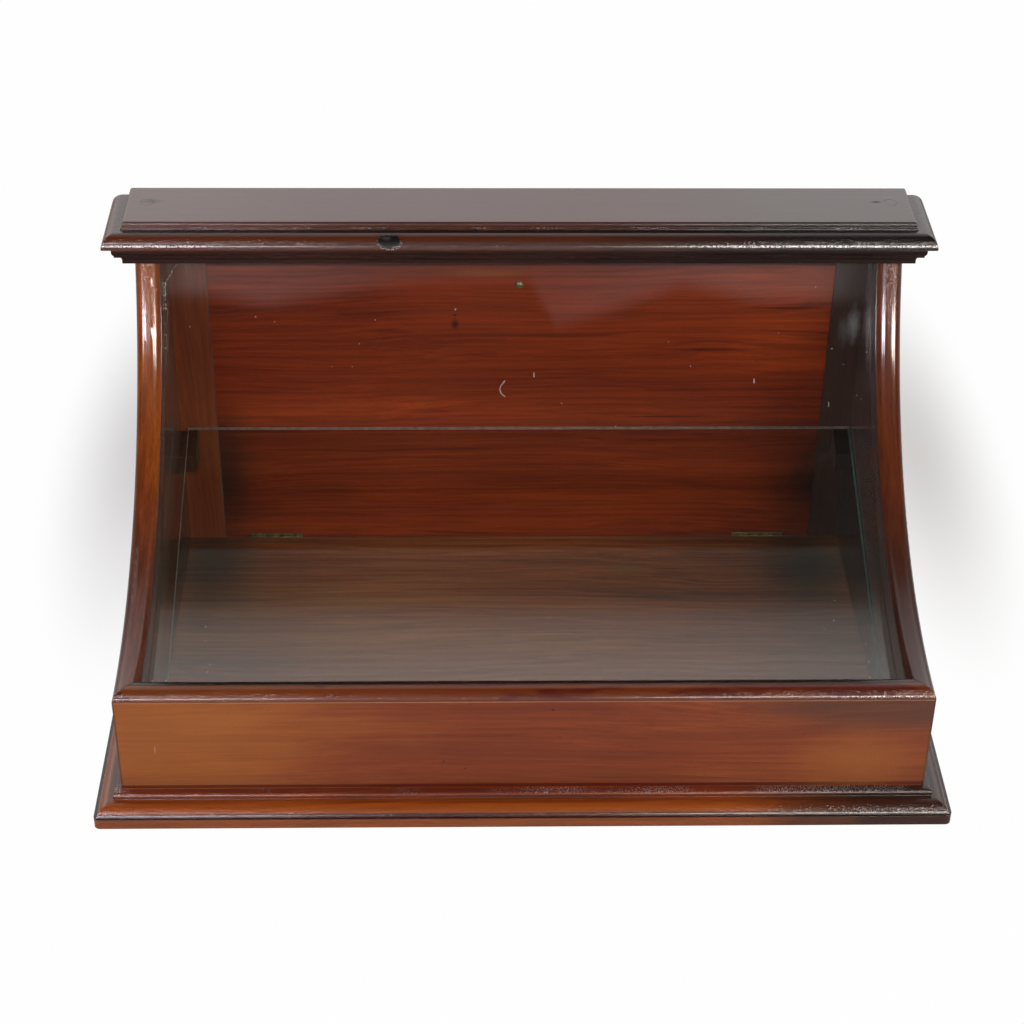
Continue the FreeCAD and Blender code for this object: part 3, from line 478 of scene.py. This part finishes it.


# Single marks: scuffs, drips, pin holes and smudges over the cap's screws, with painted shadows in the
# door's and the floor's corners and a painted reflection on the right stile


FRONT_MARKS = (
    Mark((-0.198, FRONT_FACE, 0.073), (0.050, 0.02, 0.015), "#a25c1e", 0.7, 0.3),
    Mark((-0.120, FRONT_FACE, 0.035), (0.060, 0.02, 0.020), "#7a2e0c", 0.5, 0.3),
    Mark((0.215, FRONT_FACE, 0.040), (0.060, 0.02, 0.034), "#98541a", 0.95, 0.25),
    Mark((0.0174, FRONT_FACE, 0.0839), (0.0016, 0.01, 0.0012), "#2a0f08", 0.9),
    Mark((-0.052, FRONT_FACE, 0.041), (0.0012, 0.01, 0.0012), "#2a0f08", 0.9),
    Mark((-0.038, FRONT_FACE, 0.035), (0.0014, 0.01, 0.0010), "#2a0f08", 0.9),
    Mark((-0.236, FRONT_FACE, 0.052), (0.0008, 0.01, 0.0045), "#b08a70", 0.8),
)
DOOR_MARKS_AND_SHADOWS = (
    Mark((-0.0444, DOOR_FACE, 0.1974), (0.0042, 0.01, 0.0062), "#1c0604", 0.95, 0.15),
    Mark((-0.0444, DOOR_FACE, 0.2047), (0.0020, 0.01, 0.0014), "#2a0a05", 0.9),
    Mark((-0.0440, DOOR_FACE, 0.2095), (0.0009, 0.01, 0.0010), "#d8c0b0", 0.9),
    Mark((0.187, DOOR_FACE, 0.2105), (0.036, 0.01, 0.0009), "#200a06", 0.95, 0.1),
    Mark((-0.10, DOOR_FACE, 0.199), (0.115, 0.01, 0.0035), "#8c2c0c", 0.32, 0.4),
    Mark((0.02, DOOR_FACE, 0.188), (0.110, 0.01, 0.0030), "#2c0e06", 0.55, 0.4),
    Mark((0.06, DOOR_FACE, 0.117), (0.150, 0.01, 0.0035), "#842a0e", 0.5, 0.3),
    Mark((0.110, DOOR_FACE, 0.119), (0.045, 0.01, 0.0012), "#1c0804", 0.8, 0.3),
    Mark((0.130, DOOR_FACE, 0.176), (0.050, 0.01, 0.0020), "#1c0804", 0.6, 0.4),
    Mark((-0.022, DOOR_FACE, 0.2385), (0.050, 0.01, 0.0050), "#8c4410", 0.8, 0.3),
    # Painted shadows of the side boards on the door's lower right and lower left corners
    Mark((0.226, DOOR_FACE, 0.055), (0.058, 0.03, 0.078), "#241812", 0.92, 0.12),
    Mark((-0.2155, DOOR_FACE, 0.070), (0.036, 0.03, 0.085), "#281c16", 0.88, 0.15),
)
FLOOR_MARKS_AND_SHADOWS = (
    # Painted shadows in the floor's back corners: the first two marks
    Mark((0.215, 0.100, FLOOR_TOP), (0.060, 0.075, 0.02), "#1c241e", 0.85, 0.15),
    Mark((-0.225, 0.100, FLOOR_TOP), (0.045, 0.085, 0.02), "#20241e", 0.8, 0.15),
    Mark((0.080, 0.095, FLOOR_TOP), (0.022, 0.012, 0.02), "#6a5228", 0.6, 0.3),
    Mark((-0.150, -0.040, FLOOR_TOP), (0.045, 0.014, 0.02), "#6e4826", 0.5, 0.3),
    Mark((0.080, 0.062, FLOOR_TOP), (0.045, 0.0012, 0.02), "#120a06", 0.8, 0.2),
)
STILE_PAINTED_REFLECTION = (
    # Painted reflection of the right lamp: a pale grey smear on the right stile
    Mark((0.2375, DOOR_FACE, 0.196), (0.0065, 0.01, 0.020), "#8a8886", 0.85, 0.55),
    Mark((0.2310, DOOR_FACE, 0.192), (0.0060, 0.01, 0.018), "#6a6866", 0.5, 0.6),
)
CAP_MARKS = (
    Mark((-0.2485, 0.1290, CAP_TOP), (0.0105, 0.0050, 0.01), "#3c3a30", 0.8, 0.25, 0.35),
    Mark((0.2419, 0.1285, CAP_TOP), (0.0050, 0.0020, 0.01), "#15100e", 1.0, 0.1, 0.9),
    Mark((-0.0876, 0.0880, 0.2908), (0.0120, 0.0095, 0.0070), "#120e0d", 0.9, 0.2, 1.0),
    Mark((-0.0895, 0.0890, 0.2915), (0.0050, 0.0030, 0.0016), "#4a4442", 0.7, 0.6),
)
SIDE_MARKS = (
    Mark((-0.2540, 0.0835, 0.191), (0.0035, 0.004, 0.0048), "#250f08", 0.9, 0.2),
    Mark((-0.2547, 0.0618, 0.1625), (0.0045, 0.004, 0.0010), "#c09a80", 0.6, 0.2),
    Mark((0.2560, 0.0930, 0.201), (0.0012, 0.004, 0.0030), "#1a0a08", 0.9),
)


# Each material on the solids that wear it


def dress(material, names):
    """Put one material on some solids."""
    for name in names:
        data = nodes[name].data
        if not data.materials:
            data.materials.append(material)
        for slot in nodes[name].material_slots:
            slot.material = material


dress(wood("wood_cap", "#2e120a", "#401c10", "#52281c", "x", 1.0, coat=0.9, gloss=0.14, ripples=0.12,
           depth=0.06, marks=CAP_MARKS, shade=cap_shade, crackle=end_crackle),
      ["cap_board", "cap_plugs"])
dress(wood("wood_bed", "#160603", "#281009", "#3e1a0a", "x", 2.0, coat=0.2, shade=bed_shade),
      ["bed_mould_front", "bed_mould_left", "bed_mould_right", "front_top_rail"])
dress(wood("wood_front", "#702b0c", "#80360e", "#944a12", "x", 3.0, coat=0.75, depth=0.08,
           marks=FRONT_MARKS, shade=front_shade, crackle=end_crackle),
      ["front_board"])
dress(wood("wood_side", "#62270b", "#8a420f", "#ac5e1a", "z", 4.0, ripples=0.15, peel=0.06, through=0.12,
           marks=SIDE_MARKS, shade=side_shade, crackle=top_crackle),
      ["left_side", "right_side"])
dress(wood("wood_plinth", "#6a2a0e", "#883f12", "#a05820", "x", 5.0, coat=0.7, gloss=0.15,
           shade=plinth_shade, crackle=end_crackle),
      ["plinth_front"])
dress(wood("wood_plinth_side", "#3c1c12", "#52301e", "#6a4028", "y", 6.0, shade=plinth_shade),
      ["plinth_left", "plinth_right"])
dress(wood("wood_door", "#621f0b", "#802c0c", "#9c3b0e", "x", 7.0, coat=0.6, marks=DOOR_MARKS_AND_SHADOWS,
           shade=back_shade),
      ["rear_door", "back_top_rail", "back_bottom_rail", "door_knob", "turn_button"])
dress(wood("wood_stile", "#6a2e17", "#823c20", "#944e2a", "z", 8.0, coat=0.7, depth=0.08,
           marks=STILE_PAINTED_REFLECTION, shade=stile_shade),
      ["back_stile_left", "back_stile_right"])
dress(wood("wood_cleat", "#301a12", "#3c2217", "#482a1c", "z", 8.2, coat=0.4, shade=cleat_shade),
      ["shelf_cleat_left", "shelf_cleat_right"])
dress(wood("wood_floor", "#5a2f19", "#874a24", "#9f6735", "x", 9.0, marks=FLOOR_MARKS_AND_SHADOWS),
      ["floor_board"])
dress(glass("clear_glass", "#f2f8f4"), ["curved_glass", "glass_shelf"])
dress(metal("tarnished_brass", "#958a60", "#565036", 0.33),
      [name for name in nodes if name.startswith("hinge_")])
dress(metal("dull_brass", "#4e4c36", "#1c1e14", 0.45), ["knob_screw"])
dress(metal("dull_steel", "#8a8884", "#4c4944", 0.35), ["cap_screws", "turn_button_screw"])


# Small pieces that Blender adds: the shelf's bright ground edges, dust, threads and putty


def plain(name, colour, rough):
    """A matt material with a little colour variation."""
    g = Graph(bpy.data.materials.new(name))
    place = g.place()
    patchy = g.noise(place, scale=180.0, detail=3.0)
    base = g.mix(g.fit(patchy, 0.35, 0.65), linear(colour), linear(colour, 0.55))
    normal = g.bump(g.noise(place, scale=1500.0), 0.0001, 0.5)
    shader = g.node("BsdfPrincipled", {"Base Color": base, "Roughness": rough, "Normal": normal})
    return g.finish(shader.outputs[0])


def mesh_object(name, points, faces, material):
    mesh = bpy.data.meshes.new(name)
    mesh.from_pydata(points, [], faces)
    mesh.materials.append(material)
    made = bpy.data.objects.new(name, mesh)
    bpy.context.scene.collection.objects.link(made)
    return made


def piece(name, points, faces, material):
    """A small piece that stays with the case."""
    made = mesh_object(name, points, faces, material)
    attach(made, "case")


def ribbon(points, width, thickness, upward):
    """Points and faces of a thin flat strip along points, its width across the way and upward."""
    corners = []
    for index, point in enumerate(points):
        before, after = points[max(index - 1, 0)], points[min(index + 1, len(points) - 1)]
        across = (after - before).cross(upward).normalized() * width / 2
        for lift in (0.0, thickness):
            corners += [point - across + lift * upward, point + across + lift * upward]
    faces = [(0, 1, 3, 2)]
    last = 4 * (len(points) - 1)
    for start in range(0, last, 4):
        for low, high in ((0, 1), (1, 3), (3, 2), (2, 0)):
            faces.append((start + low, start + 4 + low, start + 4 + high, start + high))
    faces.append((last, last + 2, last + 3, last + 1))
    return corners, faces


def bead(centre, size, seed):
    """Points and faces of one small uneven blob."""
    rng = random.Random(seed)
    rings, turns = 4, 6
    points = [centre + Vector((0.0, 0.0, -size))]
    for ring in range(1, rings):
        rise = math.pi * ring / rings
        for turn in range(turns):
            angle = 2 * math.pi * turn / turns
            reach = size * math.sin(rise) * rng.uniform(0.75, 1.2)
            offset = Vector((reach * math.cos(angle), reach * math.sin(angle), -size * math.cos(rise)))
            points.append(centre + offset)
    points.append(centre + Vector((0.0, 0.0, size)))
    faces = [(0, 1 + (turn + 1) % turns, 1 + turn) for turn in range(turns)]
    for ring in range(rings - 2):
        low = 1 + ring * turns
        for turn in range(turns):
            after = (turn + 1) % turns
            faces.append((low + turn, low + after, low + turns + after, low + turns + turn))
    top = len(points) - 1
    low = top - turns
    faces += [(low + turn, low + (turn + 1) % turns, top) for turn in range(turns)]
    return points, faces


def join(shapes):
    """Several lists of points and faces as one."""
    points, faces = [], []
    for more, links in shapes:
        faces += [tuple(index + len(points) for index in face) for face in links]
        points += more
    return points, faces


THIN = 0.0001
LEFT_ARRIS = SHELF_LEFT + 0.0004
RIGHT_ARRIS = SHELF_RIGHT - 0.0008
SHELF_EDGES = (
    # Name, its two ends across and back, width, colour, roughness
    ("back", (SHELF_LEFT, SHELF_BACK), (SHELF_RIGHT, SHELF_BACK), 0.0024, "#6c564e", 0.6),
    ("left", (LEFT_ARRIS, SHELF_FRONT), (LEFT_ARRIS, SHELF_BACK), 0.0006, "#6a6864", 0.6),
    ("right", (RIGHT_ARRIS, SHELF_FRONT), (RIGHT_ARRIS, SHELF_BACK), 0.0014, "#2a4a42", 0.5),
)


def on_shelf(x, y):
    """A point just above the shelf's top face."""
    return Vector((x, y, SHELF_FOOT_Z + (y - SHELF_FOOT_Y) * SHELF_SLOPE + THIN))


def shelf_line(start, stop, width):
    """A ground arris on the shelf's top face."""
    ends = (Vector(start), Vector(stop))
    steps = [ends[0].lerp(ends[1], step / 12) for step in range(13)]
    return ribbon([on_shelf(p.x, p.y) for p in steps], width, THIN, SHELF_UP)


for side, start, stop, width, colour, rough in SHELF_EDGES:
    piece(f"shelf_edge_{side}", *shelf_line(start, stop, width),
          plain(f"ground_glass_{side}", colour, rough))


def on_glass(x, z, lift):
    """A point at a distance in front of the bent glass."""
    reach = GLASS_RADIUS - lift
    drop = z - GLASS_CENTRE.z
    return Vector((x, GLASS_CENTRE.y + math.sqrt(reach ** 2 - drop ** 2), z))


# Specks of dust and paint on the bent glass, in millimetres across and up, with a size
SPECKS = (
    (-209, 86, 0.5), (-208, 83, 0.45), (-204, 79, 0.4), (-205, 78, 0.5), (209, 92, 0.4),
    (207, 87, 0.45), (200, 85, 0.4), (226, 82, 0.45), (226, 79, 0.55), (225, 77, 0.5),
    (-181, 222, 0.55), (-168, 219, 0.3), (-99, 220, 0.35), (-110, 206, 0.35),
    (-115, 193, 0.3), (-129, 193, 0.3), (216, 203, 0.6), (240, 201, 0.45),
    (224, 194, 0.4), (179, 212, 0.35), (103, 207, 0.35), (118, 193, 0.4),
    (29, 173, 0.4), (204, 240, 0.5), (233, 177, 0.35), (236, 175, 0.35),
    (66, 161, 0.4), (-44, 226, 0.4), (-226, 216, 0.5), (-240, 77, 0.6), (-231, 77, 0.6),
)
specks = [bead(on_glass(x / 1000, z / 1000, 0.0003), 0.8 * size / 1000, index)
          for index, (x, z, size) in enumerate(SPECKS)]
piece("glass_specks", *join(specks), plain("pale_dust", "#d8d0c8", 0.7))

THREAD = 0.0005
THREAD_UP = Vector((0.0, -0.6, 0.8))
# The threads' points, in millimetres across and up
HAIRS = (
    ((-10, 185), (-13, 182), (-13.5, 180), (-12.5, 178), (-10, 176.5)),
    ((162, 186), (162, 183.5)),
    ((10, 189.5), (10, 187)),
    ((213.5, 173.5), (213.5, 171)),
)


def hair(points):
    """A thin thread lying on the bent glass."""
    steps = []
    for start, stop in zip(points, points[1:]):
        steps += [Vector(start).lerp(Vector(stop), step / 4) for step in range(4)]
    steps.append(Vector(points[-1]))
    way = [on_glass(p.x / 1000, p.y / 1000, THIN) for p in steps]
    return ribbon(way, THREAD, THIN, THREAD_UP)


piece("glass_hairs", *join([hair(points) for points in HAIRS]), plain("pale_thread", "#c8bcb0", 0.7))

# Crumbs of putty along the upper left edge of the glass, thinning out downwards, in millimetres
PUTTY = ((-234, 254.5), (-239, 247.5), (-242, 243), (-242.5, 239.5), (-242.5, 234.5), (-242.5, 226),
         (-242.5, 205), (-242.5, 162))
PUTTY_TRIES = 46
SPARSE_FROM = 5
SPARSE_GAPS = 0.45


def crumbs(path, tries):
    """Blobs along a path of points; the stretches at its far end get fewer and smaller ones."""
    rng = random.Random(7)
    shapes = []
    for step in range(tries):
        share = (step + rng.uniform(0.0, 0.8)) / tries * (len(path) - 1)
        index = int(share)
        x, z = (a + (b - a) * (share - index) for a, b in zip(path[index], path[index + 1]))
        sparse = index >= SPARSE_FROM
        if sparse and rng.random() < SPARSE_GAPS:
            continue
        size = rng.uniform(0.2, 0.4) if sparse else rng.uniform(0.25, 0.62)
        centre = on_glass(x / 1000 + rng.uniform(-0.0004, 0.0004), z / 1000, 0.0004)
        shapes.append(bead(centre, size / 1000, step))
    return shapes


piece("glass_putty", *join(crumbs(PUTTY, PUTTY_TRIES)), plain("old_putty", "#d4ccc4", 0.6))


# Camera, where the photograph's lines put it


TILT = math.radians(35.489)
TURN = math.radians(1.579)
ROLL = math.radians(0.776)
CAMERA_PLACE = (-0.04024, -1.23752, 1.01450)
camera_data = bpy.data.cameras.new("camera")
camera_data.lens = 79.41
camera_data.sensor_width = 36.0
camera = bpy.data.objects.new("camera", camera_data)
bpy.context.scene.collection.objects.link(camera)
ahead = Vector((math.sin(TURN) * math.cos(TILT), math.cos(TURN) * math.cos(TILT), -math.sin(TILT)))
right = Vector((math.cos(TURN), -math.sin(TURN), 0.0))
above = right.cross(ahead)
right_rolled = math.cos(ROLL) * right + math.sin(ROLL) * above
above_rolled = math.cos(ROLL) * above - math.sin(ROLL) * right
turned = Matrix((right_rolled, above_rolled, -ahead)).transposed().to_4x4()
camera.matrix_world = Matrix.Translation(CAMERA_PLACE) @ turned
bpy.context.scene.camera = camera


# Floor: matt paper that the camera sees nearly white, with the case's shadow kept


FLOOR = 6.0
FLOOR_CORNERS = ((-FLOOR, -FLOOR, 0), (FLOOR, -FLOOR, 0), (FLOOR, FLOOR, 0), (-FLOOR, FLOOR, 0))
PAPER = "#d8d8d8"
SIDE_SHADOWS = (
    # Middle and radii of the shadow on the left and on the right
    ((-0.29, 0.27, 0.0), (0.085, 0.32, 1.0)),
    ((0.325, 0.27, 0.0), (0.080, 0.32, 1.0)),
)
# How much of the paper's look is plain white: in the light, deep in the shadow, and in reflections
WHITE_IN_LIGHT, WHITE_IN_SHADOW, WHITE_MIRRORED = 0.985, 0.35, 0.05


def floor_paper():
    """The camera sees it white, down to a soft shadow behind the case and out at its sides."""
    g = Graph(bpy.data.materials.new("floor_paper"))
    place = g.place()
    aside = g.math("ADD", *(g.spot(place, centre, radii) for centre, radii in SIDE_SHADOWS))
    x, y, _ = g.split(place)
    behind = g.math("MULTIPLY", g.fit(y, 0.110, 0.150), g.fit(y, 0.25, 0.55, 1.0, 0.0))
    behind = g.math("MULTIPLY", behind, g.fit(g.math("ABSOLUTE", x), 0.23, 0.31, 1.0, 0.0))
    shadow = g.math("MAXIMUM", aside, behind)
    body = g.node("BsdfDiffuse", {"Color": linear(PAPER)})
    glow = g.node("Emission", {"Color": linear("#ffffff"), "Strength": 1.0})
    mirrored = g.math("MULTIPLY", g.node("LightPath").outputs["Is Glossy Ray"], WHITE_MIRRORED)
    white = g.fit(shadow, 0.0, 1.0, WHITE_IN_LIGHT, WHITE_IN_SHADOW, smooth=False)
    white = g.math("ADD", g.math("MULTIPLY", g.in_view(), white), mirrored)
    return g.finish(g.either(white, body.outputs[0], glow.outputs[0]))


made = mesh_object("floor", FLOOR_CORNERS, [range(4)], floor_paper())


# Room, which lights the case and is mirrored in it while the camera sees plain white: a broad bright
# wall behind the case that fades out overhead, and a dull window in front with a ragged lower edge


HALF_TURN = 180
# Degrees from straight behind the case, over the top and down in front, and how bright it is there
ROOM_STOPS = ((0, 0.95), (28, 1.8), (53, 1.25), (59, 1.12), (66, 0.87), (70, 0.75), (74, 0.52),
              (77, 0.23), (80, 0.10), (85, 0.04), (150, 0.015), (180, 0.03))
ROOM_PEAK = 1.9
# Places across the window, with the degrees of its lower edge or with how bright it is
WINDOW_LEFT, WINDOW_RIGHT = -0.2, 0.25
WINDOW_FOOT = ((-0.20, 156), (-0.11, 157.5), (-0.085, 154.5), (-0.05, 158), (-0.016, 160.5), (0.03, 161),
               (0.042, 149), (0.068, 153.5), (0.097, 159.5), (0.13, 156), (0.17, 155.5), (0.25, 155.5))
WINDOW_LIGHT = ((-0.20, 0.42), (-0.08, 0.42), (-0.016, 0.22), (0.03, 0.20), (0.07, 0.32), (0.12, 0.48),
                (0.150, 0.42), (0.175, 0.2), (0.25, 0.2))


def curve(g, value, low, high, points, peak):
    """A value run through a broken line of points, as a number from 0 to peak."""
    ramp = g.node("ValToRGB", {"Fac": g.fit(value, low, high, smooth=False)})
    stops = ramp.color_ramp.elements
    while len(stops) < len(points):
        stops.new(0.5)
    for stop, (place, height) in zip(stops, points):
        stop.position = (place - low) / (high - low)
        stop.color = (height / peak, height / peak, height / peak, 1.0)
    return g.math("MULTIPLY", ramp.outputs["Color"], peak)


def make_room():
    """The world's light by direction, from angles over the case and places across the window."""
    g = Graph(bpy.data.worlds.new("studio"))
    x, y, z = g.split(g.node("TexCoord").outputs["Generated"])
    turn = g.math("MULTIPLY", g.math("ARCTAN2", z, y), HALF_TURN / math.pi)
    across = g.fit(g.math("ABSOLUTE", x), 0.5, 0.85, 1.0, 0.15)
    light = g.math("MULTIPLY", curve(g, turn, 0, HALF_TURN, ROOM_STOPS, ROOM_PEAK), across)
    foot = curve(g, x, WINDOW_LEFT, WINDOW_RIGHT, WINDOW_FOOT, HALF_TURN)
    window = g.math("MULTIPLY", g.fit(g.math("SUBTRACT", turn, foot), -1.5, 4.5),
                    curve(g, x, WINDOW_LEFT, WINDOW_RIGHT, WINDOW_LIGHT, 1.0))
    window = g.math("MULTIPLY", window, g.fit(turn, 163, 172, 1.0, 0.55))
    light = g.math("ADD", light, window)
    room = g.node("Background", {"Color": linear("#fff9f7"), "Strength": light})
    white = g.node("Background", {"Color": linear("#ffffff"), "Strength": 1.0})
    return g.finish(g.either(g.in_view(), room.outputs[0], white.outputs[0]), "OutputWorld")


bpy.context.scene.world = make_room()


# Lamps: a pair of soft boxes lights the wood and stays out of the varnish, where strips of lamps are
# mirrored instead: a bright row, a dim taller row around it, and a low one for the mouldings' noses


AIM = Vector((0.0, 0.0, 0.2))
COOL = "#f4f0fa"
WARM = "#fff8ee"


def soft_box(name, turn, rise, width, height, light, colour, away):
    """A lamp whose place and size are angles seen from the counter; light is how bright it looks."""
    turn, rise = math.radians(turn), math.radians(rise)
    way = Vector((math.sin(turn) * math.cos(rise), -math.cos(turn) * math.cos(rise), math.sin(rise)))
    data = bpy.data.lights.new(name, "AREA")
    data.shape = "RECTANGLE"
    data.size = 2 * away * math.cos(rise) * math.tan(math.radians(width / 2))
    data.size_y = 2 * away * math.tan(math.radians(height / 2))
    data.energy = light * math.pi * data.size * data.size_y
    data.color = linear(colour)[:3]
    made = bpy.data.objects.new(name, data)
    made.location = AIM + away * way
    made.rotation_euler = (-way).to_track_quat("-Z", "Y").to_euler()
    bpy.context.scene.collection.objects.link(made)
    return made


BOX_RISE, BOX_HEIGHT, BOX_LIGHT, BOX_AWAY = 29.0, 12.0, 12.0, 2.0
BOXES = (
    # Name, turn from straight in front, width, colour
    ("left", -38.0, 36.0, COOL),
    ("right", 45.0, 38.0, WARM),
)
for side, turn, width, colour in BOXES:
    lamp = soft_box(f"{side}_box", turn, BOX_RISE, width, BOX_HEIGHT, BOX_LIGHT, colour, BOX_AWAY)
    lamp.visible_glossy = False

STRIP = 19.0
ROWS = (
    # Name, first lamp on the left and on the right, rise, drop outwards, height, how bright, how far
    ("gleam", 24.0, 29.5, 28.5, 6.5, 11.0, 34.0, 6.0),
    ("glow", 24.0, 29.0, 22.0, 7.0, 24.0, 1.4, 6.3),
    ("low", 16.4, 16.4, 2.5, 0.0, 6.0, 32.0, 3.0),
)
for name, left_turn, right_turn, rise, drop, height, light, away in ROWS:
    for side, sign, first, colour in (("left", -1, left_turn, COOL), ("right", 1, right_turn, WARM)):
        for step in range(2):
            lamp = soft_box(f"{side}_{name}_{step + 1}", sign * (first + step * STRIP),
                            rise - step * drop, STRIP, height, light, colour, away)
            lamp.visible_diffuse = False
            lamp.visible_transmission = False

bpy.context.scene.view_settings.view_transform = "Standard"
